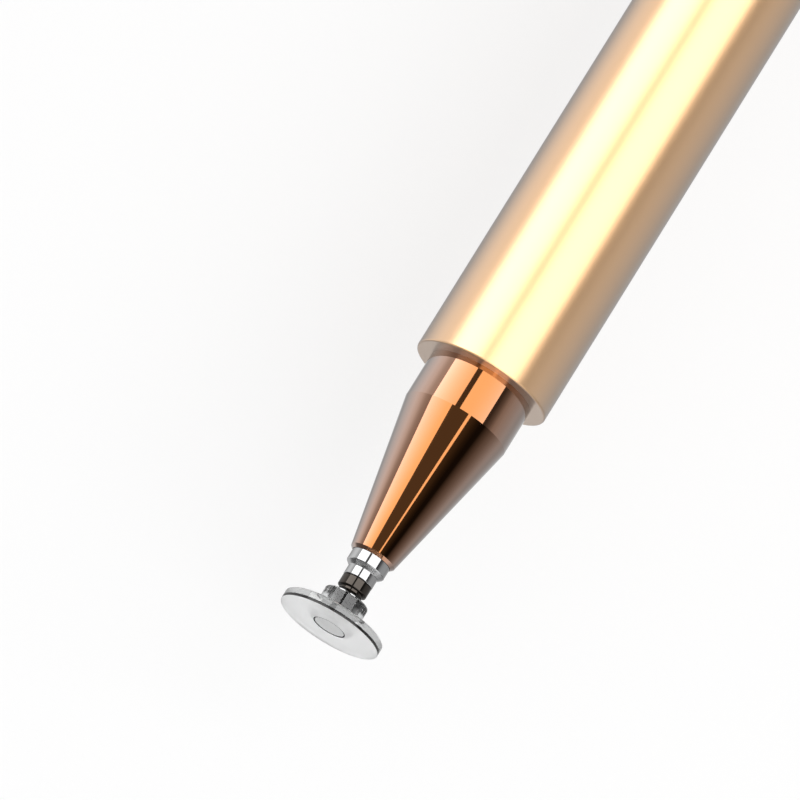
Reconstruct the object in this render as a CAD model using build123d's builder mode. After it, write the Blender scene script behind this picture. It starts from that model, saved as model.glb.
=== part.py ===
"""A disc-tip stylus pen, lying along X with its writing face at the origin and its tail towards +X."""
import os
from math import acos, atan2, degrees, hypot, sqrt

from build123d import *

os.makedirs("parts", exist_ok=True)

# Fits and cuts
running_gap = 0.02
thread_gap = 0.02
cap_gap = 0.08
cut_overrun = 0.5

# Clear disc and the conductive film under it
disc_diameter = 6.82
plate_thickness = 0.52
film_thickness = 0.1
film_margin = 0.05
disc_edge_break = 0.04

# Snap socket on the disc
hub_diameter = 2.95
hub_height = 1.46
hub_edge_break = 0.08
rivet_diameter = 1.6
rivet_head_diameter = 2.18
rivet_head_height = 0.28
snap_bite = 0.035
mouth_flare_diameter = 1.52
slot_count = 4
slot_width = 0.2
slot_depth = 0.82
slot_turn = 45

# Stud with its ball
ball_diameter = 1.2
ball_depth = 0.62
neck_diameter = 0.72
neck_reach = 1.03
collar_diameter = 1.96
collar_length = 0.64
collar_bevel = 0.2
collar_seat_diameter = 1.7
collar_seat_height = 0.05
stud_shank_diameter = 1.2
stud_shank_length = 4.5
stud_tip_break = 0.15

# Chromed ferrule
ferrule_nose_diameter = 2
ferrule_nose_length = 0.64
ferrule_step_length = 0.27
ferrule_diameter = 2.59
ferrule_show = 0.72
ferrule_plug_length = 6
ferrule_bore_spare = 0.4
ferrule_end_break = 0.2

# Rubber ring that grips the ferrule in the cone
grip_ring_section = 0.34
grip_ring_squeeze = 0.01
grip_groove_width = 0.46
grip_groove_setback = 1.2

# Nose cone
lip_chamfer = 0.19
cone_front_diameter = 3.04
cone_length = 9.86
root_length = 3.09
nib_bore_spare = 0.3
core_drill_diameter = 1.8
spigot_pilot_length = 2
spigot_thread_length = 6
spigot_end_break = 0.3

# Rubber rings in the thread reliefs
lock_ring_section = 0.6
lock_relief_width = 0.8

# Magnets
magnet_wall = 0.26
magnet_length = 3.5
magnet_edge_break = 0.15
magnet_setback = 4.2

# Barrel
barrel_diameter = 9
barrel_wall = 1.3
barrel_length = 109.6
shoulder_width = 1.01
barrel_edge_break = 0.1
pilot_step = 0.12
pilot_bore_spare = 0.1

# Pocket clip
clip_thickness = 0.5
clip_width = 3.2
clip_length = 36
clip_rise = 1.7
clip_flat_length = 10
clip_tip_length = 4
clip_tip_lift = 0.8
clip_bend_radius = 0.8
clip_corner_radius = 1.2

# Tail plug with its flange and the post for the cap
flange_length = 0.9
post_length = 6
post_edge_break = 0.3
post_ease = 0.02

# Cap
cap_length = 21
cap_wall = 0.5
cap_end_wall = 1
cap_end_break = 0.35
cap_mouth_line = 0.06
liner_end_wall = 0.6
keeper_length = 3
keeper_setback = 0.3
glue_gap = 0.01

# Places along the pen, from the writing face to the tail
plate_x = film_thickness
plate_top_x = plate_x + plate_thickness
hub_x = plate_top_x + running_gap
hub_top_x = hub_x + hub_height
ball_x = hub_top_x - ball_depth
neck_end_x = ball_x + neck_reach
collar_x = neck_end_x + collar_bevel
collar_end_x = collar_x + collar_length
ferrule_x = collar_end_x + collar_seat_height
step_x = ferrule_x + ferrule_nose_length
sleeve_x = step_x + ferrule_step_length
lip_x = sleeve_x + ferrule_show
taper_x = lip_x + lip_chamfer
root_x = taper_x + cone_length
shoulder_x = root_x + root_length
tail_x = shoulder_x + barrel_length
flange_x = tail_x + clip_thickness
flange_end_x = flange_x + flange_length
cap_x = flange_end_x + cap_mouth_line
cap_end_x = cap_x + cap_length

# Radii that two pieces share
disc_radius = disc_diameter / 2
hub_radius = hub_diameter / 2
rivet_radius = rivet_diameter / 2
rivet_head_radius = rivet_head_diameter / 2
ball_radius = ball_diameter / 2
shank_radius = stud_shank_diameter / 2
sleeve_radius = ferrule_diameter / 2
nib_bore_radius = sleeve_radius + running_gap
barrel_radius = barrel_diameter / 2
root_radius = barrel_radius - shoulder_width
bore_radius = barrel_radius - barrel_wall
pilot_bore_radius = bore_radius + pilot_step
pilot_radius = pilot_bore_radius - running_gap
thread_radius = bore_radius - thread_gap
relief_radius = thread_radius - lock_ring_section
magnet_pocket_radius = relief_radius - magnet_wall
magnet_radius = magnet_pocket_radius - running_gap
cap_bore_radius = root_radius + cap_gap
shell_bore_radius = barrel_radius - cap_wall
liner_radius = shell_bore_radius - glue_gap

# Countersunk rivet that holds the disc to the socket
head_slope = (rivet_head_radius - rivet_radius) / rivet_head_height
rivet_radius_at_film = rivet_head_radius - head_slope * film_thickness

# Clear disc: a flat plate, countersunk under its centre for the rivet
with BuildPart() as touch_disc:
    with BuildSketch(Plane.XZ):
        with BuildLine():
            Polyline(
                (plate_x, rivet_radius_at_film + running_gap),
                (rivet_head_height, rivet_radius + running_gap),
                (plate_top_x, rivet_radius + running_gap),
                (plate_top_x, disc_radius),
                (plate_x, disc_radius),
                close=True,
            )
        make_face()
    revolve(axis=Axis.X)
    rim = touch_disc.edges().filter_by(GeomType.CIRCLE).group_by(SortBy.RADIUS)[-1]
    chamfer(rim, length=disc_edge_break)
touch_disc.part.label = "touch_disc"
export_step(touch_disc.part, "parts/touch_disc.step")

# Conductive film: a thin washer bonded under the disc, which does the touching
with BuildPart() as contact_film:
    with BuildSketch(Plane.YZ):
        Circle(disc_radius - film_margin)
        Circle(rivet_head_radius + running_gap, mode=Mode.SUBTRACT)
    extrude(amount=film_thickness)
contact_film.part.label = "contact_film"
export_step(contact_film.part, "parts/contact_film.step")

# Snap socket: a cup with a ball-shaped hollow, riveted through the disc and split into fingers
socket_radius = ball_radius + running_gap
mouth_radius = ball_radius - snap_bite
mouth_x = ball_x + sqrt(socket_radius**2 - mouth_radius**2)
with BuildPart() as disc_hub:
    with BuildSketch(Plane.XZ):
        with BuildLine():
            Polyline(
                (0, 0),
                (0, rivet_head_radius),
                (rivet_head_height, rivet_radius),
                (hub_x, rivet_radius),
                (hub_x, hub_radius),
                (hub_top_x - hub_edge_break, hub_radius),
                (hub_top_x, hub_radius - hub_edge_break),
                (hub_top_x, 0),
                close=True,
            )
        make_face()
    revolve(axis=Axis.X)
    with Locations((ball_x, 0, 0)):
        Sphere(socket_radius, mode=Mode.SUBTRACT)
    with BuildSketch(Plane.XZ):
        with BuildLine():
            Polyline(
                (ball_x, 0),
                (mouth_x, mouth_radius),
                (hub_top_x, mouth_flare_diameter / 2),
                (hub_top_x + cut_overrun, mouth_flare_diameter / 2),
                (hub_top_x + cut_overrun, 0),
                close=True,
            )
        make_face()
    revolve(axis=Axis.X, mode=Mode.SUBTRACT)
    with BuildSketch(Plane.YZ.offset(hub_top_x - slot_depth)):
        with PolarLocations(hub_radius, slot_count, start_angle=slot_turn):
            Rectangle(hub_diameter, slot_width)
    extrude(amount=slot_depth + cut_overrun, mode=Mode.SUBTRACT)
disc_hub.part.label = "disc_hub"
export_step(disc_hub.part, "parts/disc_hub.step")

# Stud: ball, slim neck, bevelled collar and the shank that is pressed into the ferrule
shank_end_x = ferrule_x + stud_shank_length
with BuildPart() as ball_stud:
    with BuildSketch(Plane.XZ):
        with BuildLine():
            Polyline(
                (ball_x, 0),
                (ball_x, neck_diameter / 2),
                (neck_end_x, neck_diameter / 2),
                (neck_end_x, collar_diameter / 2 - collar_bevel),
                (collar_x, collar_diameter / 2),
                (collar_end_x, collar_diameter / 2),
                (collar_end_x, collar_seat_diameter / 2),
                (ferrule_x, collar_seat_diameter / 2),
                (ferrule_x, shank_radius),
                (shank_end_x - stud_tip_break, shank_radius),
                (shank_end_x, shank_radius - stud_tip_break),
                (shank_end_x, 0),
                close=True,
            )
        make_face()
    revolve(axis=Axis.X)
    with Locations((ball_x, 0, 0)):
        Sphere(ball_radius)
ball_stud.part.label = "ball_stud"
export_step(ball_stud.part, "parts/ball_stud.step")

# Ferrule: a stepped sleeve, bored for the stud and grooved for its grip ring
plug_end_x = lip_x + ferrule_plug_length
stud_bore_radius = shank_radius + running_gap
grip_ring_radius = nib_bore_radius - grip_ring_squeeze - grip_ring_section / 2
groove_radius = grip_ring_radius - grip_ring_section / 2 - grip_ring_squeeze
groove_x = lip_x + grip_groove_setback
with BuildPart() as nib_ferrule:
    with BuildSketch(Plane.XZ):
        with BuildLine():
            Polyline(
                (ferrule_x, stud_bore_radius),
                (ferrule_x, ferrule_nose_diameter / 2),
                (step_x, ferrule_nose_diameter / 2),
                (sleeve_x, sleeve_radius),
                (groove_x, sleeve_radius),
                (groove_x, groove_radius),
                (groove_x + grip_groove_width, groove_radius),
                (groove_x + grip_groove_width, sleeve_radius),
                (plug_end_x - ferrule_end_break, sleeve_radius),
                (plug_end_x, sleeve_radius - ferrule_end_break),
                (plug_end_x, 0),
                (shank_end_x + ferrule_bore_spare, 0),
                (shank_end_x + ferrule_bore_spare, stud_bore_radius),
                close=True,
            )
        make_face()
    revolve(axis=Axis.X)
nib_ferrule.part.label = "nib_ferrule"
export_step(nib_ferrule.part, "parts/nib_ferrule.step")

# Grip ring: a rubber ring in the ferrule's groove, which holds the nib in the cone
with BuildPart() as nib_grip_ring:
    with BuildSketch(Plane.XZ):
        with Locations((groove_x + grip_groove_width / 2, grip_ring_radius)):
            Rectangle(grip_ring_section, grip_ring_section)
    revolve(axis=Axis.X)
nib_grip_ring.part.label = "nib_grip_ring"
export_step(nib_grip_ring.part, "parts/nib_grip_ring.step")

# Screwed spigots: cone and plug have the same pilot, thread relief and thread
pilot_end_x = shoulder_x + spigot_pilot_length
relief_end_x = pilot_end_x + lock_relief_width
spigot_end_x = relief_end_x + spigot_thread_length
pilot_bore_depth = spigot_pilot_length + pilot_bore_spare

# Nose cone: bored for the nib from the front and for a magnet from behind
nib_bore_end_x = plug_end_x + nib_bore_spare
magnet_x = shoulder_x - magnet_setback
with BuildPart() as nose_cone:
    with BuildSketch(Plane.XZ):
        with BuildLine():
            Polyline(
                (lip_x, nib_bore_radius),
                (lip_x, cone_front_diameter / 2 - lip_chamfer),
                (taper_x, cone_front_diameter / 2),
                (root_x, root_radius),
                (shoulder_x, root_radius),
                (shoulder_x, pilot_radius),
                (pilot_end_x, pilot_radius),
                (pilot_end_x, relief_radius),
                (relief_end_x, relief_radius),
                (relief_end_x, thread_radius),
                (spigot_end_x - spigot_end_break, thread_radius),
                (spigot_end_x, thread_radius - spigot_end_break),
                (spigot_end_x, magnet_pocket_radius),
                (magnet_x, magnet_pocket_radius),
                (magnet_x, core_drill_diameter / 2),
                (nib_bore_end_x, core_drill_diameter / 2),
                (nib_bore_end_x, nib_bore_radius),
                close=True,
            )
        make_face()
    revolve(axis=Axis.X)
nose_cone.part.label = "nose_cone"
export_step(nose_cone.part, "parts/nose_cone.step")

# Front magnet: a plain cylinder glued against the bottom of the cone's pocket
with BuildPart() as front_magnet:
    with BuildSketch(Plane.YZ.offset(magnet_x)):
        Circle(magnet_radius)
    extrude(amount=magnet_length)
    chamfer(front_magnet.edges().filter_by(GeomType.CIRCLE), length=magnet_edge_break)
front_magnet.part.label = "front_magnet"
export_step(front_magnet.part, "parts/front_magnet.step")

# Lock ring: a rubber ring in the cone's thread relief
lock_ring_radius = thread_radius - lock_ring_section / 2
lock_ring_width = lock_ring_section - 2 * running_gap
with BuildPart() as cone_lock_ring:
    with BuildSketch(Plane.XZ):
        with Locations((pilot_end_x + lock_relief_width / 2, lock_ring_radius)):
            Rectangle(lock_ring_width, lock_ring_width)
    revolve(axis=Axis.X)
cone_lock_ring.part.label = "cone_lock_ring"
export_step(cone_lock_ring.part, "parts/cone_lock_ring.step")

# Barrel: a straight tube, opened out at both ends for the pilots of cone and plug
with BuildPart() as barrel:
    with BuildSketch(Plane.YZ.offset(shoulder_x)):
        Circle(barrel_radius)
        Circle(bore_radius, mode=Mode.SUBTRACT)
    extrude(amount=barrel_length)
    with BuildSketch(Plane.YZ.offset(shoulder_x)):
        Circle(pilot_bore_radius)
    extrude(amount=pilot_bore_depth, mode=Mode.SUBTRACT)
    with BuildSketch(Plane.YZ.offset(tail_x)):
        Circle(pilot_bore_radius)
    extrude(amount=-pilot_bore_depth, mode=Mode.SUBTRACT)
    ends = barrel.edges().filter_by(GeomType.CIRCLE).group_by(SortBy.RADIUS)[-1]
    chamfer(ends, length=barrel_edge_break)
barrel.part.label = "barrel"
export_step(barrel.part, "parts/barrel.step")

# Pocket clip: a bent spring strip on a ring, turned so that the lying pen rests on its edge
clip_ring_radius = barrel_radius - barrel_edge_break
clip_ring_x = tail_x + clip_thickness / 2
clip_root_radius = (clip_ring_radius + pilot_bore_radius) / 2
clip_face_radius = barrel_radius + clip_rise
clip_flat_radius = clip_face_radius - clip_thickness / 2
clip_touch_radius = barrel_radius + running_gap + clip_thickness / 2
clip_tip_x = tail_x - clip_length
clip_reach = hypot(clip_face_radius, clip_width / 2)
clip_lean = acos(barrel_radius / clip_reach) + atan2(clip_width / 2, clip_face_radius)
clip_plane = Plane.XZ.rotated((180 - degrees(clip_lean), 0, 0))
with BuildPart() as pocket_clip:
    with BuildSketch(clip_plane):
        with BuildLine():
            FilletPolyline(
                (clip_ring_x, clip_root_radius),
                (clip_ring_x, clip_flat_radius),
                (tail_x - clip_flat_length, clip_flat_radius),
                (clip_tip_x + clip_tip_length, clip_touch_radius),
                (clip_tip_x, clip_touch_radius + clip_tip_lift),
                radius=clip_bend_radius,
            )
        trace(line_width=clip_thickness)
    extrude(amount=clip_width / 2, both=True)
    with BuildSketch(clip_plane.rotated((90, 0, 0))):
        with Locations((tail_x, 0)):
            Rectangle(2 * clip_length, clip_width)
        fillet(vertices().group_by(Axis.X)[0], radius=clip_corner_radius)
    extrude(amount=clip_reach, both=True, mode=Mode.INTERSECT)
    with BuildSketch(Plane.YZ.offset(tail_x)):
        Circle(clip_ring_radius)
        Circle(pilot_bore_radius, mode=Mode.SUBTRACT)
    extrude(amount=clip_thickness)
pocket_clip.part.label = "pocket_clip"
export_step(pocket_clip.part, "parts/pocket_clip.step")

# Tail plug: the cone's spigot the other way round, with a flange over the clip's ring and a post
plug_pilot_x = tail_x - spigot_pilot_length
plug_relief_x = plug_pilot_x - lock_relief_width
plug_front_x = plug_relief_x - spigot_thread_length
post_radius = root_radius - post_ease
post_end_x = flange_end_x + post_length
tail_magnet_x = post_end_x - magnet_length
with BuildPart() as tail_plug:
    with BuildSketch(Plane.XZ):
        with BuildLine():
            Polyline(
                (plug_front_x, 0),
                (plug_front_x, thread_radius - spigot_end_break),
                (plug_front_x + spigot_end_break, thread_radius),
                (plug_relief_x, thread_radius),
                (plug_relief_x, relief_radius),
                (plug_pilot_x, relief_radius),
                (plug_pilot_x, pilot_radius),
                (flange_x, pilot_radius),
                (flange_x, clip_ring_radius),
                (flange_x + barrel_edge_break, barrel_radius),
                (flange_end_x - barrel_edge_break, barrel_radius),
                (flange_end_x, clip_ring_radius),
                (flange_end_x, post_radius),
                (post_end_x - post_edge_break, post_radius),
                (post_end_x, post_radius - post_edge_break),
                (post_end_x, magnet_pocket_radius),
                (tail_magnet_x, magnet_pocket_radius),
                (tail_magnet_x, 0),
                close=True,
            )
        make_face()
    revolve(axis=Axis.X)
tail_plug.part.label = "tail_plug"
export_step(tail_plug.part, "parts/tail_plug.step")

# Tail magnet: the same cylinder, flush with the end of the post
with BuildPart() as tail_magnet:
    with BuildSketch(Plane.YZ.offset(tail_magnet_x)):
        Circle(magnet_radius)
    extrude(amount=magnet_length)
    chamfer(tail_magnet.edges().filter_by(GeomType.CIRCLE), length=magnet_edge_break)
tail_magnet.part.label = "tail_magnet"
export_step(tail_magnet.part, "parts/tail_magnet.step")

# Lock ring: a rubber ring in the plug's thread relief
with BuildPart() as plug_lock_ring:
    with BuildSketch(Plane.XZ):
        with Locations((plug_pilot_x - lock_relief_width / 2, lock_ring_radius)):
            Rectangle(lock_ring_width, lock_ring_width)
    revolve(axis=Axis.X)
plug_lock_ring.part.label = "plug_lock_ring"
export_step(plug_lock_ring.part, "parts/plug_lock_ring.step")

# Cap shell: a turned cup as thick as the barrel
shell_floor_x = cap_end_x - cap_end_wall
with BuildPart() as cap_shell:
    with BuildSketch(Plane.XZ):
        with BuildLine():
            Polyline(
                (cap_x, shell_bore_radius),
                (cap_x, barrel_radius - barrel_edge_break),
                (cap_x + barrel_edge_break, barrel_radius),
                (cap_end_x - cap_end_break, barrel_radius),
                (cap_end_x, barrel_radius - cap_end_break),
                (cap_end_x, 0),
                (shell_floor_x, 0),
                (shell_floor_x, shell_bore_radius),
                close=True,
            )
        make_face()
    revolve(axis=Axis.X)
cap_shell.part.label = "cap_shell"
export_step(cap_shell.part, "parts/cap_shell.step")

# Keeper: a steel ring just inside the cap's mouth, which the magnets pull on
keeper_x = cap_x + keeper_setback
liner_x = keeper_x + keeper_length
with BuildPart() as cap_keeper:
    with BuildSketch(Plane.YZ.offset(keeper_x)):
        Circle(liner_radius)
        Circle(cap_bore_radius, mode=Mode.SUBTRACT)
    extrude(amount=keeper_length)
cap_keeper.part.label = "cap_keeper"
export_step(cap_keeper.part, "parts/cap_keeper.step")

# Liner: a moulded cup that lines the cap behind the keeper
liner_floor_x = shell_floor_x - liner_end_wall
with BuildPart() as cap_liner:
    with BuildSketch(Plane.XZ):
        with BuildLine():
            Polyline(
                (liner_x, cap_bore_radius),
                (liner_x, liner_radius),
                (shell_floor_x, liner_radius),
                (shell_floor_x, 0),
                (liner_floor_x, 0),
                (liner_floor_x, cap_bore_radius),
                close=True,
            )
        make_face()
    revolve(axis=Axis.X)
cap_liner.part.label = "cap_liner"
export_step(cap_liner.part, "parts/cap_liner.step")
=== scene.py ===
import math

import bpy
from mathutils import Matrix, Vector


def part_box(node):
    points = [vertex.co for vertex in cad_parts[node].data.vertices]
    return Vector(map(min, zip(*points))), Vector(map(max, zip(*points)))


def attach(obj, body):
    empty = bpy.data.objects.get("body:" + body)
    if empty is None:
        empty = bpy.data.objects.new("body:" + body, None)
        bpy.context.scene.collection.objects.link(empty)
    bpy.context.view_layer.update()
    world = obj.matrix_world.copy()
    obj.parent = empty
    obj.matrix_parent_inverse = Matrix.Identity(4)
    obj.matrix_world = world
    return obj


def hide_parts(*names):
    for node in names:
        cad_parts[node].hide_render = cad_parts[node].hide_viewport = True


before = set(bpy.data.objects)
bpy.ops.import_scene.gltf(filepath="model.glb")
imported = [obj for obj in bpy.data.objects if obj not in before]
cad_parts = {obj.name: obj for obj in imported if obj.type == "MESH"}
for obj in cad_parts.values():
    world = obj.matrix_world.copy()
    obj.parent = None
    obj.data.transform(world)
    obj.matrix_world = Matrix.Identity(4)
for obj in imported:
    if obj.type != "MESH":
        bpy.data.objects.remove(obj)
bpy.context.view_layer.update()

# Barrel. The real one is drawn aluminium tube, turned to length, blasted with fine beads and anodised
# a pale gold, which leaves a satin skin. Its ends are opened out inside, where nose and tail plug screw in.
weld_gap, turned_crease = 1e-7, math.radians(9)


def turned(name, rings, sides=192):
    """A circle across the pen is drawn out along it and sized to each ring (place, radius), in millimetres."""
    bpy.ops.object.select_all(action="DESELECT")
    (x, radius), tube = rings[0], rings[0] == rings[-1]
    bpy.ops.mesh.primitive_circle_add(
        vertices=sides, radius=radius / 1000, location=(x / 1000, 0, 0), rotation=(0, math.pi / 2, 0)
    )
    piece = bpy.context.object
    piece.name = name
    bpy.ops.object.transform_apply(location=True, rotation=True, scale=True)
    bpy.ops.object.mode_set(mode="EDIT")
    bpy.ops.mesh.select_mode(type="VERT")
    bpy.ops.mesh.select_all(action="SELECT")
    if not tube:
        bpy.ops.mesh.edge_face_add()
        bpy.ops.mesh.select_all(action="SELECT")
    for (x, radius), (next_x, next_radius) in zip(rings, rings[1:]):
        step = {"value": ((next_x - x) / 1000, 0, 0)}
        bpy.ops.mesh.extrude_edges_move(TRANSFORM_OT_translate=step)
        opening = next_radius / radius
        bpy.ops.transform.resize(value=(1, opening, opening), center_override=(next_x / 1000, 0, 0))
    if not tube:
        bpy.ops.mesh.edge_face_add()
    bpy.ops.mesh.select_all(action="SELECT")
    bpy.ops.mesh.remove_doubles(threshold=weld_gap)
    bpy.ops.mesh.normals_make_consistent(inside=False)
    bpy.ops.object.mode_set(mode="OBJECT")
    bpy.ops.object.shade_smooth_by_angle(angle=turned_crease)
    return piece


def rounded_edge(x, radius, edge, end):
    """The rings of a rounded outer edge on a face at x, which looks to the tip (end -1) or the tail (end 1)."""
    knee = 0.3 * edge
    rings = [(x, radius - edge), (x - end * knee, radius - knee), (x - end * edge, radius)]
    return rings[::-end]


class Tint:
    """One output of a node in a material, which can stand in a sum as a number does."""

    def __init__(self, tree, socket):
        self.tree = tree
        self.socket = socket

    def node(self, kind, settings, sockets, output=0):
        made = self.tree.nodes.new(kind)
        for key, value in settings.items():
            if key == "stops":
                ramp = made.color_ramp.elements
                for spot, shade in value:
                    ramp.new(spot).color = (shade, shade, shade, 1)
                ramp.remove(ramp[0])
                ramp.remove(ramp[-1])
            else:
                setattr(made, key, value)
        for key, value in sockets.items():
            if isinstance(value, Tint):
                self.tree.links.new(value.socket, made.inputs[key])
            else:
                made.inputs[key].default_value = value
        return Tint(self.tree, made.outputs[output])

    def feeds(self, shaders, key):
        for shader in shaders:
            self.tree.links.new(self.socket, shader.inputs[key])

    def __add__(self, other):
        return self.node("ShaderNodeMath", {"operation": "ADD"}, {0: self, 1: other})

    __radd__ = __add__

    def __sub__(self, other):
        return self.node("ShaderNodeMath", {"operation": "SUBTRACT"}, {0: self, 1: other})

    def __rsub__(self, other):
        return self.node("ShaderNodeMath", {"operation": "SUBTRACT"}, {0: other, 1: self})

    def __mul__(self, other):
        return self.node("ShaderNodeMath", {"operation": "MULTIPLY"}, {0: self, 1: other})

    __rmul__ = __mul__


def finish(name, constants):
    """A new finish with the numbers that are the same all over it, its shaders and the place on the piece."""
    material = bpy.data.materials.new(name)
    material.use_nodes = True
    tree = material.node_tree
    shader = tree.nodes["Principled BSDF"]
    for key, value in constants.items():
        shader.inputs[key].default_value = value
    place = Tint(tree, None).node("ShaderNodeTexCoord", {}, {}, output="Object")
    return material, [shader], place


def turned_away(place):
    """0 where a surface is seen face on and 1 where it is seen edge on, for gloss."""
    return place.node("ShaderNodeLayerWeight", {}, {"Blend": 0.5}, output="Facing")


def cover(shaders, factor, layer):
    """A second shader lies over a finish's own, as far as the factor says."""
    own = Tint(factor.tree, shaders[0].outputs[0])
    both = factor.node("ShaderNodeMixShader", {}, {0: factor, 1: own, 2: layer})
    both.feeds([factor.tree.nodes["Material Output"]], "Surface")


def lacquer(shaders, place, constants):
    """A clear gloss over a metal, which takes over from the metal's own tint as the surface turns away."""
    gloss = place.node("ShaderNodeBsdfPrincipled", {}, constants)
    bare = 0.045
    cover(shaders, (1 + bare) * turned_away(place) - bare, gloss)
    shaders.append(gloss.socket.node)


def speckle(place, scale, detail):
    """Cloudy noise on the piece, with its scale in grains to the metre."""
    return place.node("ShaderNodeTexNoise", {}, {"Vector": place, "Scale": scale, "Detail": detail})


def two_tone(mask, one, other):
    """A colour that goes from one to the other as the mask goes from 0 to 1."""
    return mask.node("ShaderNodeMix", {"data_type": "RGBA"}, {0: mask, 6: one, 7: other}, output=2)


def bumps(height, strength, depth):
    """A fine unevenness of the skin, with its depth in metres."""
    return height.node("ShaderNodeBump", {}, {"Strength": strength, "Distance": depth, "Height": height})


barrel_low, barrel_high = (corner * 1000 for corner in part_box("barrel"))
barrel_front, barrel_back, barrel_radius = barrel_low.x, barrel_high.x, barrel_high.y
barrel_edge = 0.1
bore_radius, pilot_bore_radius, pilot_bore_depth = 3.2, 3.32, 2.1
barrel = turned(
    "barrel_tube",
    [
        (barrel_front, pilot_bore_radius),
        *rounded_edge(barrel_front, barrel_radius, barrel_edge, -1),
        *rounded_edge(barrel_back, barrel_radius, barrel_edge, 1),
        (barrel_back, pilot_bore_radius),
        (barrel_back - pilot_bore_depth, pilot_bore_radius),
        (barrel_back - pilot_bore_depth, bore_radius),
        (barrel_front + pilot_bore_depth, bore_radius),
        (barrel_front + pilot_bore_depth, pilot_bore_radius),
        (barrel_front, pilot_bore_radius),
    ],
    sides=256,
)
gold_dye, pale_gold_dye = (0.97, 0.585, 0.292, 1), (0.99, 0.605, 0.312, 1)
gold_gloss = (0.43, 0.43, 0.43, 1)
satin_gold, shaders, place = finish("satin_gold", {"Metallic": 0.91})
lacquer(shaders, place, {"Metallic": 0.8, "Base Color": gold_gloss})
grain, cloud = speckle(place, 9000.0, 3.0), speckle(place, 160.0, 4.0)
two_tone(cloud, gold_dye, pale_gold_dye).feeds(shaders[:1], "Base Color")
(0.305 + 0.05 * (grain - 0.5) + 0.03 * (cloud - 0.5)).feeds(shaders, "Roughness")
bumps(grain, 0.12, 0.000004).feeds(shaders, "Normal")
barrel.data.materials.append(satin_gold)
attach(barrel, "pen")
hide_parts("barrel")

# Nose cone. The real one is turned brass, polished like a mirror and plated rose gold. A screwed spigot
# behind its straight root holds it in the barrel, and its front is bored for the nib.
cone_low, cone_high = (corner * 1000 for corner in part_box("nose_cone"))
lip, spigot_end, root_radius = cone_low.x, cone_high.x, cone_high.y
lip_chamfer, cone_front_radius, root_start = 0.19, 1.52, 15.08
nib_bore_radius, nib_bore_end, core_radius = 1.315, 11.33, 0.9
pilot_radius, relief_radius, thread_radius, thread_chamfer = 3.3, 2.58, 3.18, 0.3
pilot_end, relief_end, magnet_floor, pocket_radius = 20.17, 20.97, 13.97, 2.32
cone = turned(
    "nose_cone_turned",
    [
        (lip, nib_bore_radius),
        (lip, cone_front_radius - lip_chamfer),
        (lip + lip_chamfer, cone_front_radius),
        (root_start, root_radius),
        (barrel_front, root_radius),
        (barrel_front, pilot_radius),
        (pilot_end, pilot_radius),
        (pilot_end, relief_radius),
        (relief_end, relief_radius),
        (relief_end, thread_radius),
        (spigot_end - thread_chamfer, thread_radius),
        (spigot_end, thread_radius - thread_chamfer),
        (spigot_end, pocket_radius),
        (magnet_floor, pocket_radius),
        (magnet_floor, core_radius),
        (nib_bore_end, core_radius),
        (nib_bore_end, nib_bore_radius),
        (lip, nib_bore_radius),
    ],
)


def drawn_speckle(place, along, across, detail=2.0):
    """Noise drawn out into lines round the pen or along it, with its grains to the metre along and across."""
    drawn = place.node("ShaderNodeMapping", {}, {"Vector": place, "Scale": (along, across, across)})
    return speckle(drawn, 1.0, detail)


rose_plate, pale_rose_plate = (0.39, 0.15, 0.05, 1), (0.415, 0.161, 0.054, 1)
rose_gloss = (0.66, 0.655, 0.65, 1)
rose_gold, shaders, place = finish("rose_gold", {"Metallic": 1.0})
lacquer(shaders, place, {"Metallic": 1.0, "Base Color": rose_gloss})
lines, cloud = drawn_speckle(place, 24000, 90), speckle(place, 420.0, 3.0)
two_tone(cloud, rose_plate, pale_rose_plate).feeds(shaders[:1], "Base Color")
(0.045 + 0.03 * (lines - 0.5) + 0.02 * (cloud - 0.5)).feeds(shaders, "Roughness")
bumps(lines, 0.05, 0.0000004).feeds(shaders, "Normal")
cone.data.materials.append(rose_gold)
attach(cone, "pen")
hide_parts("nose_cone")

# Rubber rings. Two square rings, cut from rubber tube, sit in the reliefs before the threads and keep the nose
# and the tail plug from working loose. A third, in the ferrule's groove, grips the nib in the nose.
rubber_black, rubber_bloom = (0.018, 0.018, 0.019, 1), (0.042, 0.041, 0.04, 1)
black_rubber, shaders, place = finish("black_rubber", {"Specular IOR Level": 0.35})
bloom = speckle(place, 2600.0, 4.0)
two_tone(bloom, rubber_black, rubber_bloom).feeds(shaders, "Base Color")
(0.62 + 0.2 * (bloom - 0.5)).feeds(shaders, "Roughness")
bumps(bloom, 0.3, 0.00001).feeds(shaders, "Normal")
for node in ("cone_lock_ring", "plug_lock_ring", "nib_grip_ring"):
    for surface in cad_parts[node].material_slots:
        surface.material = black_rubber

# Magnets. Two plain sintered cylinders with a bright nickel skin are glued into the pockets of the nose
# and the tail plug. The tail one shows at the end of the post when the cap is off.
magnet_edge = 0.15
nickel, pale_nickel = (0.58, 0.55, 0.5, 1), (0.7, 0.67, 0.62, 1)
magnet_nickel, shaders, place = finish("magnet_nickel", {"Metallic": 1.0})
blotch = speckle(place, 1500.0, 5.0)
two_tone(blotch, nickel, pale_nickel).feeds(shaders, "Base Color")
(0.24 + 0.16 * (blotch - 0.5)).feeds(shaders, "Roughness")
bumps(blotch, 0.15, 0.000006).feeds(shaders, "Normal")
for node in ("front_magnet", "tail_magnet"):
    magnet_low, magnet_high = (corner * 1000 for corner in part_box(node))
    magnet = turned(
        node + "_plated",
        [
            *rounded_edge(magnet_low.x, magnet_high.y, magnet_edge, -1),
            *rounded_edge(magnet_high.x, magnet_high.y, magnet_edge, 1),
        ],
        sides=96,
    )
    magnet.data.materials.append(magnet_nickel)
    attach(magnet, "pen")
    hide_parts(node)

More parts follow.
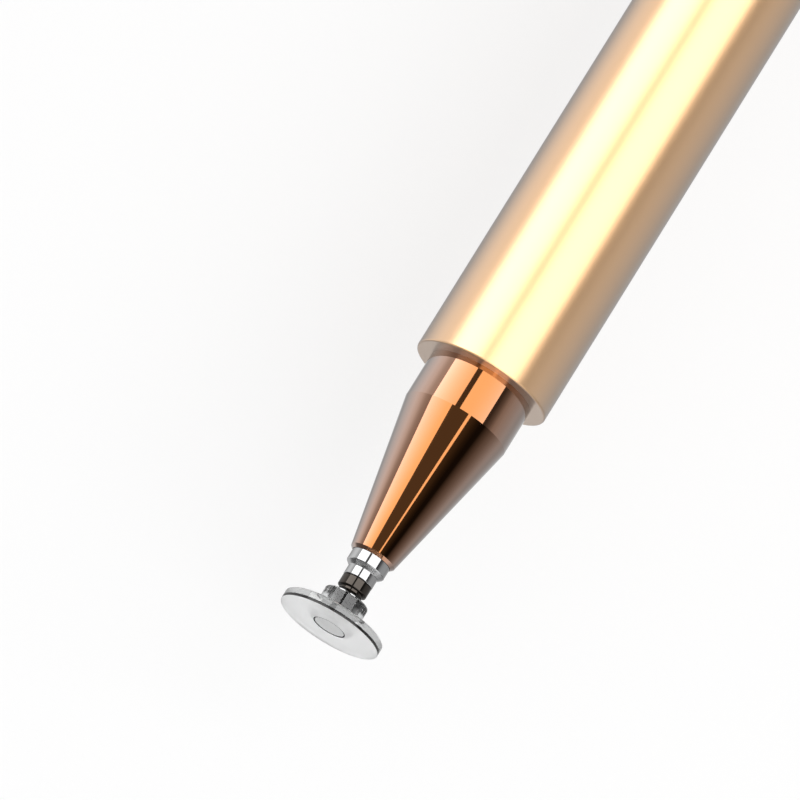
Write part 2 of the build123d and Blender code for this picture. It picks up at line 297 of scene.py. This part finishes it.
# Ferrule. A stepped sleeve of turned brass with bright chrome plating. The stud is pressed into its bore,
# and a groove near its middle takes the rubber grip ring that holds it in the nose.
ferrule_low, ferrule_high = (corner * 1000 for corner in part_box("nib_ferrule"))
ferrule_front, ferrule_back, sleeve_radius = ferrule_low.x, ferrule_high.x, ferrule_high.y
ferrule_nose_radius, step_start, sleeve_start = 1.0, 4.04, 4.31
ferrule_break, step_break, ferrule_chamfer = 0.03, 0.02, 0.2
groove_start, groove_end, groove_radius = 6.23, 6.69, 0.945
stud_bore_radius, stud_bore_end = 0.62, 8.3
ferrule = turned(
    "nib_ferrule_plated",
    [
        (stud_bore_end, stud_bore_radius),
        (ferrule_front, stud_bore_radius),
        (ferrule_front, ferrule_nose_radius - ferrule_break),
        (ferrule_front + ferrule_break, ferrule_nose_radius),
        (step_start - step_break, ferrule_nose_radius),
        (step_start + step_break, ferrule_nose_radius + step_break),
        (sleeve_start - ferrule_break, sleeve_radius - ferrule_break),
        (sleeve_start + step_break, sleeve_radius),
        (groove_start, sleeve_radius),
        (groove_start, groove_radius),
        (groove_end, groove_radius),
        (groove_end, sleeve_radius),
        (ferrule_back - ferrule_chamfer, sleeve_radius),
        (ferrule_back, sleeve_radius - ferrule_chamfer),
    ],
)


def faced(place):
    """1 on the faces that look along the pen and 0 on its sides, as plating is duller where a tool faced it."""
    normal = place.node("ShaderNodeNewGeometry", {}, {}, output="Normal")
    along = place.node(
        "ShaderNodeVectorMath", {"operation": "DOT_PRODUCT"}, {0: normal, 1: (1, 0, 0)}, output="Value"
    )
    return along * along


chrome_plate, pale_chrome_plate = (0.39, 0.39, 0.395, 1), (0.43, 0.43, 0.434, 1)
chrome_gloss = (0.6, 0.6, 0.6, 1)
chrome, shaders, place = finish("chrome", {"Metallic": 1.0})
lacquer(shaders, place, {"Metallic": 1.0, "Base Color": chrome_gloss})
lines, haze = drawn_speckle(place, 26000, 120), speckle(place, 700.0, 3.0)
two_tone(haze, chrome_plate, pale_chrome_plate).feeds(shaders[:1], "Base Color")
(0.05 + 0.03 * (lines - 0.5) + 0.03 * (haze - 0.5) + 0.3 * faced(place)).feeds(shaders, "Roughness")
bumps(lines, 0.05, 0.0000004).feeds(shaders, "Normal")
ferrule.data.materials.append(chrome)
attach(ferrule, "nib")
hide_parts("nib_ferrule")

# Stud. Ball, slim neck, collar with a small step under it, and shank are turned in one from steel and plated
# black nickel. The shank is pressed into the ferrule, and the ball snaps into the disc's socket.
stud_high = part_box("ball_stud")[1] * 1000
collar_radius, shank_end = stud_high.y, stud_high.x
ball_centre, ball_radius, neck_radius, facet_degrees = 1.48, 0.6, 0.36, 6
neck_end, collar_start, collar_end, collar_break = 2.51, 2.71, 3.35, 0.02
step_radius, step_end = collar_radius - 0.19, collar_start - 0.05
seat_radius, shank_radius, shank_chamfer = 0.85, 0.6, 0.15
ball_turns = [math.radians(facet_degrees * step) for step in range(1, 24)]
neck_turn = math.pi - math.asin(neck_radius / ball_radius)
ball_rings = [
    (ball_centre - ball_radius * math.cos(turn), ball_radius * math.sin(turn))
    for turn in ball_turns + [neck_turn]
    if turn <= neck_turn
]
stud = turned(
    "ball_stud_plated",
    ball_rings
    + [
        (neck_end, neck_radius),
        (neck_end, step_radius),
        (step_end, step_radius),
        (collar_start - collar_break, collar_radius - collar_break),
        (collar_start + collar_break, collar_radius),
        (collar_end - collar_break, collar_radius),
        (collar_end, collar_radius - collar_break),
        (collar_end, seat_radius),
        (ferrule_front, seat_radius),
        (ferrule_front, shank_radius),
        (shank_end - shank_chamfer, shank_radius),
        (shank_end, shank_radius - shank_chamfer),
    ],
    sides=128,
)
smoky_plate, pale_smoky_plate = (0.059, 0.051, 0.045, 1), (0.068, 0.059, 0.052, 1)
black_nickel, shaders, place = finish("black_nickel", {"Metallic": 1.0})
lines, haze = drawn_speckle(place, 30000, 150), speckle(place, 900.0, 3.0)
two_tone(haze, smoky_plate, pale_smoky_plate).feeds(shaders, "Base Color")
(0.07 + 0.04 * (lines - 0.5) + 0.03 * (haze - 0.5) + 0.4 * faced(place)).feeds(shaders, "Roughness")
stud.data.materials.append(black_nickel)
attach(stud, "nib")
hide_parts("ball_stud")

# Snap socket. A cup of clear moulded plastic, hollowed for the ball and split into four springy fingers. Painted
# shade: its hollow, flare and top and the edge of the rivet's head are black, with black streaks up its slots'
# walls.
# Its upper edge is plated bright. Its foot is riveted through the disc, with the head sunk flush into the
# writing face.
hub_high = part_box("disc_hub")[1] * 1000
hub_top, hub_radius = hub_high.x, hub_high.y
hub_foot, foot_break, hub_edge = 0.64, 0.03, 0.1
lip_height, lip_radius = 0.06, 1.22
hub_lip = hub_top + lip_height
rivet_face, rivet_face_radius, rivet_edge, rivet_edge_radius = 0.02, 1.015, 0.06, 1.085
rivet_radius, rivet_head_height = 0.8, 0.28
socket_radius, mouth_radius, flare_radius = 0.62, 0.565, 0.76
mouth_turn = math.asin(mouth_radius / socket_radius)
hollow_turns = [math.radians(facet_degrees * step) for step in range(12, 30)]
hollow_turns = [mouth_turn] + [turn for turn in hollow_turns if turn > mouth_turn]
socket = turned(
    "snap_socket",
    [
        (rivet_face, rivet_face_radius),
        (rivet_edge, rivet_edge_radius),
        (rivet_head_height, rivet_radius),
        (hub_foot, rivet_radius),
        (hub_foot, hub_radius - foot_break),
        (hub_foot + foot_break, hub_radius),
        (hub_lip - hub_edge, hub_radius),
        (hub_lip - 0.3 * hub_edge, hub_radius - 0.3 * hub_edge),
        (hub_lip, hub_radius - 0.8 * hub_edge),
        (hub_lip, lip_radius),
        (hub_top, lip_radius - lip_height),
        (hub_top, flare_radius),
    ]
    + [(ball_centre + socket_radius * math.cos(turn), socket_radius * math.sin(turn)) for turn in hollow_turns],
    sides=128,
)
slot_depth, slot_width, saw_overrun, saw_length = 0.82, 0.1, 0.5, 4
saw_middle = hub_top + (saw_overrun - slot_depth) / 2
for quarter in (45, 135):
    bpy.ops.object.select_all(action="DESELECT")
    bpy.ops.mesh.primitive_cube_add(
        size=0.001, location=(saw_middle / 1000, 0, 0), rotation=(math.radians(quarter), 0, 0)
    )
    saw = bpy.context.object
    saw.scale = (slot_depth + saw_overrun, saw_length, slot_width)
    bpy.ops.object.transform_apply(location=True, rotation=True, scale=True)
    bpy.ops.object.select_all(action="DESELECT")
    bpy.context.view_layer.objects.active = socket
    socket.select_set(True)
    cut = socket.modifiers.new("slot", "BOOLEAN")
    cut.operation = "DIFFERENCE"
    cut.solver = "EXACT"
    cut.object = saw
    bpy.ops.object.modifier_apply(modifier=cut.name)
    bpy.data.objects.remove(saw)
finger_crease = math.radians(20)
bpy.ops.object.shade_smooth_by_angle(angle=finger_crease)
polished = {
    "Base Color": (0.97, 0.975, 0.975, 1),
    "Transmission Weight": 1.0,
    "IOR": 1.49,
    "Specular IOR Level": 0.7,
}
clear_plastic, shaders, place = finish("clear_plastic", polished)
(0.01 + 0.02 * speckle(place, 520.0, 2.0)).feeds(shaders, "Roughness")
(1 - 1.3 * turned_away(place)).feeds(shaders, "Coat Weight")
# Painted shade: black streaks over the upper part of the slots' walls, reaching further down on the side that
# faces up.
shade_foot, shade_fade, shade_slant, streak_shade_black = 1.78, 0.08, 0.15, (0.012, 0.012, 0.012, 1)
streaked_painted_shade, shaders, place = finish("streaked_painted_shade", polished)
height = place.node(
    "ShaderNodeVectorMath", {"operation": "DOT_PRODUCT"}, {0: place, 1: (1, 0, shade_slant)}, output="Value"
)
upper = place.node(
    "ShaderNodeMapRange",
    {},
    {"Value": height, "From Min": (shade_foot - shade_fade) / 1000, "From Max": (shade_foot + shade_fade) / 1000},
)
strands = drawn_speckle(place, 300, 14000, detail=1.0)
streaks = place.node("ShaderNodeMapRange", {}, {"Value": strands, "From Min": 0.43, "From Max": 0.49})
streak_shade = place.node(
    "ShaderNodeBsdfPrincipled", {}, {"Base Color": streak_shade_black, "Roughness": 0.15, "Specular IOR Level": 0.4}
)
cover(shaders, upper * streaks, streak_shade)
hazy_white, pale_hazy_white = (0.93, 0.935, 0.935, 1), (0.97, 0.975, 0.975, 1)
hazy_skin, shaders, place = finish("hazy_skin", {"Transmission Weight": 0.5, "IOR": 1.5})
veil = speckle(place, 900.0, 3.0)
two_tone(veil, hazy_white, pale_hazy_white).feeds(shaders, "Base Color")
(0.42 + 0.16 * veil).feeds(shaders, "Roughness")
clear_joint = finish("clear_joint", {"Alpha": 0.0, "Roughness": 0.0})[0]
# Painted shade: a glossy black for the dark in the socket's hollow, flare, top and rivet edge, and on the cut
# edges of disc and film.
shade_black, pale_shade_black = (0.008, 0.008, 0.008, 1), (0.022, 0.021, 0.02, 1)
painted_shade_black, shaders, place = finish("painted_shade_black", {"Specular IOR Level": 0.4})
shade_mottle = speckle(place, 1800.0, 3.0)
two_tone(shade_mottle, shade_black, pale_shade_black).feeds(shaders, "Base Color")
(0.1 + 0.1 * shade_mottle).feeds(shaders, "Roughness")
for finish_layer in (clear_plastic, clear_joint, painted_shade_black, hazy_skin, streaked_painted_shade, chrome):
    socket.data.materials.append(finish_layer)
hair = 0.001
for face in socket.data.polygons:
    middle, reach = face.center.x * 1000, 1000 * math.hypot(face.center.y, face.center.z)
    off_axis = 1000 * abs(face.normal.y * face.center.y + face.normal.z * face.center.z)
    on_rivet_edge = rivet_face < middle < rivet_edge and reach > rivet_radius
    in_hollow = math.hypot(middle - ball_centre, reach) < socket_radius + hair
    in_flare = ball_centre < middle < hub_top - hair and reach < flare_radius
    on_top = middle > hub_top - hair
    # The rivet head's edge, the hollow, the flare and the top take the painted shade black.
    if on_rivet_edge or in_hollow or in_flare or on_top:
        face.material_index = 2
    elif abs(middle - hub_foot) < hair:
        face.material_index = 1
    elif middle < hub_foot:
        face.material_index = 3
    elif abs(off_axis - slot_width / 2) < hair:
        face.material_index = 4
    elif middle > hub_lip - hub_edge:
        face.material_index = 5
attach(socket, "socket")
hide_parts("disc_hub")

# Disc. A flat plate of clear plastic, punched and countersunk in the middle for the rivet of the socket. Its rim
# is left as cut, with the edges just broken, and the lower one is black, as painted shade.
plate_low, plate_high = (corner * 1000 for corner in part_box("touch_disc"))
plate_edge, plate_hole_radius, countersink_radius = 0.07, 0.82, 1.006
film_radius = plate_high.y - 0.01
disc = turned(
    "touch_disc_clear",
    [
        (plate_low.x, countersink_radius),
        (rivet_head_height, plate_hole_radius),
        (plate_high.x, plate_hole_radius),
        (plate_high.x, plate_high.y - plate_edge),
        (plate_high.x - plate_edge, plate_high.y),
        (plate_low.x + plate_edge, plate_high.y),
        (plate_low.x, film_radius),
        (plate_low.x, countersink_radius),
    ],
    sides=256,
)
for finish_layer in (clear_plastic, clear_joint, painted_shade_black):
    disc.data.materials.append(finish_layer)
flat_on = 0.9
for face in disc.data.polygons:
    reach = 1000 * math.hypot(face.center.y, face.center.z)
    if reach < countersink_radius or (face.normal.x < -flat_on and reach < film_radius):
        face.material_index = 1
    # Painted shade: the lower broken edge is black.
    elif face.center.x * 1000 < plate_low.x + plate_edge:
        face.material_index = 2
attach(disc, "disc")
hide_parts("touch_disc")

# Contact film. A thin washer of coated polyester, bonded under the disc with its edge a little inside
# the rim. Its coating carries the touch to the screen as a hazy veil on the face; its cut edges are black, as
# painted shade.
film_low, film_high = (corner * 1000 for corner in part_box("contact_film"))
film_hole_radius, film_break = 1.11, 0.01
film = turned(
    "contact_film_coated",
    [
        (film_low.x, film_hole_radius),
        (film_high.x, film_hole_radius),
        (film_high.x, film_radius),
        (film_low.x + film_break, film_radius),
        (film_low.x, film_radius - film_break),
        (film_low.x, film_hole_radius),
    ],
    sides=256,
)
film_white, pale_film_white = (0.96, 0.965, 0.965, 1), (0.985, 0.99, 0.99, 1)
conductive_film, shaders, place = finish("conductive_film", {"Transmission Weight": 0.5, "IOR": 1.5})
veil = speckle(place, 1100.0, 4.0)
two_tone(veil, film_white, pale_film_white).feeds(shaders, "Base Color")
(0.28 + 0.12 * veil).feeds(shaders, "Roughness")
for finish_layer in (conductive_film, clear_joint, painted_shade_black):
    film.data.materials.append(finish_layer)
for face in film.data.polygons:
    if face.normal.x > flat_on:
        face.material_index = 1
    # Painted shade: the cut edges, round the hole and round the rim, are black.
    elif abs(face.normal.x) < flat_on:
        face.material_index = 2
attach(film, "disc")
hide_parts("contact_film")

# Pocket clip. A strip of spring steel, stamped with a ring at its root, bent over the barrel and plated
# like the nose. The tail plug clamps the ring against the barrel's end.
clip_tip = (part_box("pocket_clip")[0] * 1000).x
clip_thickness, clip_width, clip_rise, clip_bend, clip_edge = 0.5, 3.2, 1.7, 0.8, 0.08
clip_flat_length, clip_foot, clip_air, tip_inset, tip_lift = 10, 4, 0.02, 0.06, 0.79
clip_ring_radius = barrel_radius - barrel_edge
clip_root, clip_flat = 3.86, barrel_radius + clip_rise - clip_thickness / 2
clip_touch = barrel_radius + clip_air + clip_thickness / 2
clip_corners = [
    (barrel_back + clip_thickness / 2, clip_root),
    (barrel_back + clip_thickness / 2, clip_flat),
    (barrel_back - clip_flat_length, clip_flat),
    (clip_tip + clip_foot, clip_touch),
    (clip_tip + tip_inset, clip_touch + tip_lift),
]
bend_steps = 6
clip_path = [Vector(clip_corners[0])]
for before, corner, after in zip(clip_corners, clip_corners[1:], clip_corners[2:]):
    before, corner, after = Vector(before), Vector(corner), Vector(after)
    back, ahead = (before - corner).normalized(), (after - corner).normalized()
    reach = clip_bend / math.tan(back.angle(ahead) / 2)
    start, end = corner + back * reach, corner + ahead * reach
    for step in range(bend_steps + 1):
        share = step / bend_steps
        inward = start * (1 - share) + corner * share
        outward = corner * (1 - share) + end * share
        clip_path.append(inward * (1 - share) + outward * share)
clip_path.append(Vector(clip_corners[-1]))
clip_start = (clip_path[0].x / 1000, 0, clip_path[0].y / 1000)
bpy.ops.object.select_all(action="DESELECT")
bpy.ops.mesh.primitive_plane_add(size=clip_width / 1000, location=clip_start)
clip = bpy.context.object
clip.name = "pocket_clip_strip"
bpy.ops.object.transform_apply(location=True, rotation=True, scale=True)
bpy.ops.object.mode_set(mode="EDIT")
bpy.ops.mesh.select_all(action="SELECT")
bpy.ops.transform.resize(value=(0, 1, 1), center_override=clip_start)
bpy.ops.mesh.remove_doubles(threshold=weld_gap)
bpy.ops.mesh.select_all(action="SELECT")
for here, there in zip(clip_path, clip_path[1:]):
    step = {"value": ((there.x - here.x) / 1000, 0, (there.y - here.y) / 1000)}
    bpy.ops.mesh.extrude_edges_move(TRANSFORM_OT_translate=step)
bpy.ops.object.mode_set(mode="OBJECT")
thicken = clip.modifiers.new("sheet", "SOLIDIFY")
thicken.thickness = clip_thickness / 1000
thicken.offset = 0
thicken.use_even_offset = True
bpy.ops.object.modifier_apply(modifier=thicken.name)
soften = clip.modifiers.new("edges", "BEVEL")
soften.width = clip_edge / 1000
soften.segments = 2
soften.limit_method = "ANGLE"
soften.angle_limit = math.radians(60)
bpy.ops.object.modifier_apply(modifier=soften.name)
clip_reach = math.hypot(barrel_radius + clip_rise, clip_width / 2)
clip_lean = math.acos(barrel_radius / clip_reach) + math.atan2(clip_width / 2, barrel_radius + clip_rise)
clip.data.transform(Matrix.Rotation(math.pi - clip_lean, 4, "X"))
clip_ring = turned(
    "pocket_clip_ring",
    [
        (barrel_back, pilot_bore_radius),
        (barrel_back, clip_ring_radius),
        (barrel_back + clip_thickness, clip_ring_radius),
        (barrel_back + clip_thickness, pilot_bore_radius),
        (barrel_back, pilot_bore_radius),
    ],
)
bpy.ops.object.select_all(action="DESELECT")
clip_ring.select_set(True)
clip.select_set(True)
bpy.context.view_layer.objects.active = clip
bpy.ops.object.join()
clip_crease = math.radians(28)
bpy.ops.object.shade_smooth_by_angle(angle=clip_crease)
clip.data.materials.append(rose_gold)
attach(clip, "pen")
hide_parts("pocket_clip")

# Tail plug. Turned and plated like the nose, and screwed into the barrel's back end. Its flange clamps
# the clip, and the post behind it carries the cap while the pen is in use.
plug_low, plug_high = (corner * 1000 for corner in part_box("tail_plug"))
flange_thickness, post_gap, post_edge, tail_pocket_depth = 0.9, 0.02, 0.3, 3.5
flange_start = barrel_back + clip_thickness
flange_end, post_radius = flange_start + flange_thickness, root_radius - post_gap
plug_pilot, plug_relief = barrel_back - 2, barrel_back - 2.8
plug = turned(
    "tail_plug_turned",
    [
        (plug_low.x, thread_radius - thread_chamfer),
        (plug_low.x + thread_chamfer, thread_radius),
        (plug_relief, thread_radius),
        (plug_relief, relief_radius),
        (plug_pilot, relief_radius),
        (plug_pilot, pilot_radius),
        (flange_start, pilot_radius),
        (flange_start, clip_ring_radius),
        (flange_start + barrel_edge, barrel_radius),
        (flange_end - barrel_edge, barrel_radius),
        (flange_end, clip_ring_radius),
        (flange_end, post_radius),
        *rounded_edge(plug_high.x, post_radius, post_edge, 1),
        (plug_high.x, pocket_radius),
        (plug_high.x - tail_pocket_depth, pocket_radius),
    ],
)
plug.data.materials.append(rose_gold)
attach(plug, "pen")
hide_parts("tail_plug")

# Cap shell. A cup turned from the same aluminium as the barrel, with the same blasted and anodised skin.
# It pushes onto the post at the tail, or over the nose to guard the disc.
shell_low, shell_high = (corner * 1000 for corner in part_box("cap_shell"))
cap_mouth, cap_end = shell_low.x, shell_high.x
shell_bore, shell_floor = barrel_radius - 0.5, cap_end - 1
crown, crown_knee, crown_nip = 0.35, 0.2, 0.05
shell = turned(
    "cap_shell_turned",
    [
        (shell_floor, shell_bore),
        (cap_mouth, shell_bore),
        *rounded_edge(cap_mouth, barrel_radius, barrel_edge, -1),
        (cap_end - crown, barrel_radius),
        (cap_end - crown_knee, barrel_radius - crown_nip),
        (cap_end - crown_nip, barrel_radius - crown_knee),
        (cap_end, barrel_radius - crown),
    ],
    sides=256,
)
shell.data.materials.append(satin_gold)
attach(shell, "cap")
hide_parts("cap_shell")

# Keeper. A ring parted off plain steel tube and glued just inside the cap's mouth, where the magnets
# in the post and in the nose pull on it.
keeper_low, keeper_high = (corner * 1000 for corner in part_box("cap_keeper"))
cap_bore, keeper_radius = root_radius + 0.08, keeper_high.y
keeper = turned(
    "cap_keeper_ring",
    [
        (keeper_low.x, cap_bore),
        (keeper_low.x, keeper_radius),
        (keeper_high.x, keeper_radius),
        (keeper_high.x, cap_bore),
        (keeper_low.x, cap_bore),
    ],
)
steel, pale_steel = (0.46, 0.46, 0.46, 1), (0.62, 0.62, 0.61, 1)
keeper_steel, shaders, place = finish("keeper_steel", {"Metallic": 1.0})
lines = drawn_speckle(place, 16000, 200, detail=3.0)
two_tone(lines, steel, pale_steel).feeds(shaders, "Base Color")
(0.3 + 0.16 * (lines - 0.5)).feeds(shaders, "Roughness")
bumps(lines, 0.3, 0.000004).feeds(shaders, "Normal")
keeper.data.materials.append(keeper_steel)
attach(keeper, "cap")
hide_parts("cap_keeper")

# Liner. A moulded cup of black plastic with a fine matt skin, glued into the cap behind the keeper.
# It keeps the disc off the metal while the cap is on the nose.
liner_low, liner_high = (corner * 1000 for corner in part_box("cap_liner"))
liner_floor = liner_high.x - 0.6
liner = turned(
    "cap_liner_moulded",
    [
        (liner_floor, cap_bore),
        (liner_low.x, cap_bore),
        (liner_low.x, keeper_radius),
        (liner_high.x, keeper_radius),
    ],
)
liner_black, pale_liner_black = (0.035, 0.035, 0.038, 1), (0.06, 0.06, 0.064, 1)
liner_plastic, shaders, place = finish("liner_plastic", {"Specular IOR Level": 0.45})
mould = speckle(place, 3200.0, 4.0)
two_tone(mould, liner_black, pale_liner_black).feeds(shaders, "Base Color")
(0.5 + 0.16 * (mould - 0.5)).feeds(shaders, "Roughness")
bumps(mould, 0.25, 0.00001).feeds(shaders, "Normal")
liner.data.materials.append(liner_plastic)
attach(liner, "cap")
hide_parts("cap_liner")

# Studio floor. A white sheet, lit from below as well as from above, a little under the pen, so that only
# a broad, faint shadow falls on it.
floor_size, floor_middle, floor_drop, floor_glow = 6, 0.03, 0.0115, 0.73
paper_white, pale_paper_white = (0.9, 0.9, 0.9, 1), (0.904, 0.904, 0.904, 1)
bpy.ops.object.select_all(action="DESELECT")
bpy.ops.mesh.primitive_plane_add(size=floor_size, location=(floor_middle, 0, -floor_drop))
floor = bpy.context.object
floor.name = "floor"
floor.visible_glossy = False


def in_sight(start):
    """1 for light that the camera sees, straight or by way of gloss or glass, and 0 for light on the pieces."""
    camera_ray, glossy_ray, clear_ray = (
        start.node("ShaderNodeLightPath", {}, {}, output="Is " + ray + " Ray")
        for ray in ("Camera", "Glossy", "Transmission")
    )
    return camera_ray + glossy_ray + clear_ray


floor_white, shaders, place = finish("floor_white", {"Roughness": 1.0, "Specular IOR Level": 0.0})
two_tone(speckle(place, 30.0, 2.0), paper_white, pale_paper_white).feeds(shaders, "Base Color")
backlight = place.node("ShaderNodeEmission", {}, {"Color": (1, 1, 1, 1), "Strength": 1.0})
cover(shaders, floor_glow * in_sight(place), backlight)
floor.data.materials.append(floor_white)

# Studio tent. A round tent of grey cloth that only shows in gloss and through the clear plastic: dark above
# between the lamps, with a black strip, a grey right side, a paler left side and the white sheet below.
tent_radius, tent_middle, tent_veil, veil_white = 2.6, 0.02, 0.25, (0.9, 0.9, 0.9, 1)
bpy.ops.object.select_all(action="DESELECT")
bpy.ops.mesh.primitive_uv_sphere_add(
    segments=96, ring_count=48, radius=tent_radius, location=(tent_middle, 0, 0)
)
tent = bpy.context.object
tent.name = "tent"
tent.visible_camera = False
tent.visible_diffuse = False
tent.visible_shadow = False
tent_cloth, shaders, place = finish(
    "tent_cloth", {"Base Color": (0, 0, 0, 1), "Specular IOR Level": 0.0, "Emission Strength": 1.0}
)
side_x, side_y, side_z = (
    place.node("ShaderNodeSeparateXYZ", {}, {"Vector": place}, output=axis) for axis in "XYZ"
)
turn = place.node("ShaderNodeMath", {"operation": "ARCTAN2"}, {0: -1 * side_y, 1: side_z})
girth = place.node("ShaderNodeMath", {"operation": "SQRT"}, {0: side_y * side_y + side_z * side_z})
lean = place.node("ShaderNodeMath", {"operation": "ARCTAN2"}, {0: side_x, 1: girth})
around = turn * (0.5 / math.pi) + 0.5


def past(angle, degrees, softness):
    """0 before an angle on the tent and 1 past it, with a soft edge, in degrees."""
    return angle.node(
        "ShaderNodeMapRange",
        {"interpolation_type": "SMOOTHSTEP"},
        {
            "Value": angle,
            "From Min": math.radians(degrees - softness),
            "From Max": math.radians(degrees + softness),
        },
    )


def cloth_greys(stops):
    """The cloth's greys round the pen, by the angle from straight up in degrees."""
    spots = [((degrees + 180) / 360, shade) for degrees, shade in stops]
    return around.node("ShaderNodeValToRGB", {"stops": spots}, {0: around})


middle_greys = cloth_greys(
    ((-180, 0.6), (-165, 0.62), (-152, 0.68), (-127, 1.0), (-110, 1.04), (-96, 0.83), (-84, 0.55),
     (-76, 0.5), (-20, 0.18), (9, 0.18), (20, 0.1), (26, 0.08), (35, 0.04), (44, 0.015), (53, 0.015),
     (63, 0.11), (73, 0.18), (84, 0.2), (96, 0.22), (110, 0.29), (127, 0.31), (152, 0.4), (165, 0.55),
     (180, 0.6))
)
tail_greys = cloth_greys(
    ((-180, 0.9), (-165, 0.5), (-152, 0.42), (-127, 0.8), (-110, 1.05), (-96, 1.06), (-84, 0.77),
     (-76, 0.75), (-20, 0.15), (-10, 0.15), (47, 0.08), (53, 0.08), (63, 0.21), (73, 0.45), (84, 0.53),
     (110, 0.52), (127, 0.42), (152, 0.48), (165, 0.6), (180, 0.9))
)
tip_greys = cloth_greys(
    ((-180, 0.4), (-130, 0.2), (-110, 0.16), (-70, 0.15), (-40, 0.15), (-15, 0.25), (0, 0.62), (30, 1.1),
     (66, 1.45), (107, 1.1), (122, 0.6), (150, 0.4), (180, 0.4))
)
towards_tail = past(lean, 1, softness=4)
towards_tip = 1 - past(lean, -26, softness=7)
cloth_light = two_tone(towards_tip, two_tone(towards_tail, middle_greys, tail_greys), tip_greys)
through_plastic = place.node("ShaderNodeLightPath", {}, {}, output="Is Transmission Ray")
two_tone(tent_veil * through_plastic, cloth_light, veil_white).feeds(shaders, "Emission Color")
tent.data.materials.append(tent_cloth)

# Studio lamps. Two long soft boxes, a strip that carries the right one on towards the tip, a box in front of the
# tip and a small edge light far over the tail show in gloss alone. A broad lamp high on the right lights the
# sheet. Each has its glow, its angles round the pen in degrees, and its reach along the pen in metres.
lamp_distance, tilt_pivot = 1.0, 0.3
for name, glow, middle, first, last, near_x, far_x, tilt, slant in (
    ("soft_box_left", 2.5, -46.9, -25.7, 25.7, -0.31, 1.2, -0.35, 0.11),
    ("soft_box_right", 2.5, 19.0, -28.2, 28.2, 0.09, 1.2, 0.0, 0.0),
    ("edge_light", 2.5, 22.0, -20.0, 20.0, 1.75, 2.1, 0.0, 0.0),
    ("strip_right", 2.5, 19.0, -7.0, -1.0, -0.36, 0.09, 0.0, 0.0),
    ("front_box", 3.2, 13.0, -31.0, 31.0, -0.51, -0.21, 0.0, 0.0),
    ("broad_lamp", 2.0, 35.0, -26.5, 26.5, -0.5, 0.5, 0.0, 0.0),
):
    aim = math.radians(middle)
    low_edge, high_edge = (lamp_distance * math.tan(math.radians(edge)) for edge in (first, last))
    outward = Vector((0, -math.sin(aim), math.cos(aim)))
    sideways = Vector((0, -math.cos(aim), -math.sin(aim)))
    lengthways = Vector((1, 0, 0)) + tilt * outward + slant * sideways
    half_way = (near_x + far_x) / 2
    pivot_x = tilt_pivot if tilt else half_way
    spot = outward * lamp_distance + sideways * (low_edge + high_edge) / 2 + Vector((pivot_x, 0, 0))
    spot += lengthways * (half_way - pivot_x)
    along = lengthways.normalized()
    face_on = along.cross(-sideways).normalized()
    bpy.ops.object.select_all(action="DESELECT")
    bpy.ops.object.light_add(type="AREA", location=spot)
    lamp = bpy.context.object
    lamp.name = name
    lamp.rotation_euler = Matrix((along, face_on.cross(along), face_on)).transposed().to_euler()
    lamp.data.shape = "RECTANGLE"
    lamp.data.size = (far_x - near_x) * lengthways.length
    lamp.data.size_y = high_edge - low_edge
    lamp.data.energy = glow * math.pi * lamp.data.size * lamp.data.size_y
    lamp.visible_camera = False
    lamp.visible_diffuse = name == "broad_lamp"
    lamp.visible_glossy = name != "broad_lamp"
    lamp.visible_transmission = False

# Studio air. An even light from all round, as in a room with pale walls, fills the shadows on the pen.
# It looks white to the camera, and in gloss and glass.
room_light, room_white = (0.7, 0.7, 0.7, 1), (1, 1, 1, 1)
world = bpy.data.worlds.new("studio_air")
bpy.context.scene.world = world
world.use_nodes = True
air = world.node_tree.nodes["Background"]
two_tone(in_sight(Tint(world.node_tree, None)), room_light, room_white).feeds([air], "Color")

# Camera. A long lens looks down at the nose from the tip's side, turned so that the pen runs up to the right.
# Its frame is as wide as the stretch of floor that the picture shows.
view_lean, view_roll = math.radians(16.8), math.radians(58.11)
view_width, lens, sensor = 0.04845, 1200, 36
aim_right, aim_up = 0.004294, 0.01376
to_camera = Vector((-math.sin(view_lean), 0, math.cos(view_lean)))
to_tail = Vector((math.cos(view_lean), 0, math.sin(view_lean)))
to_left = Vector((0, 1, 0))
view_right = math.cos(view_roll) * to_tail - math.sin(view_roll) * to_left
view_up = math.sin(view_roll) * to_tail + math.cos(view_roll) * to_left
aim_point = aim_right * view_right + aim_up * view_up
bpy.ops.object.select_all(action="DESELECT")
bpy.ops.object.camera_add(location=aim_point + to_camera * (view_width * lens / sensor))
camera = bpy.context.object
camera.rotation_euler = Matrix((view_right, view_up, to_camera)).transposed().to_euler()
camera.data.lens = lens
camera.data.sensor_width = sensor
bpy.context.scene.camera = camera
bpy.context.scene.view_settings.view_transform = "Standard"
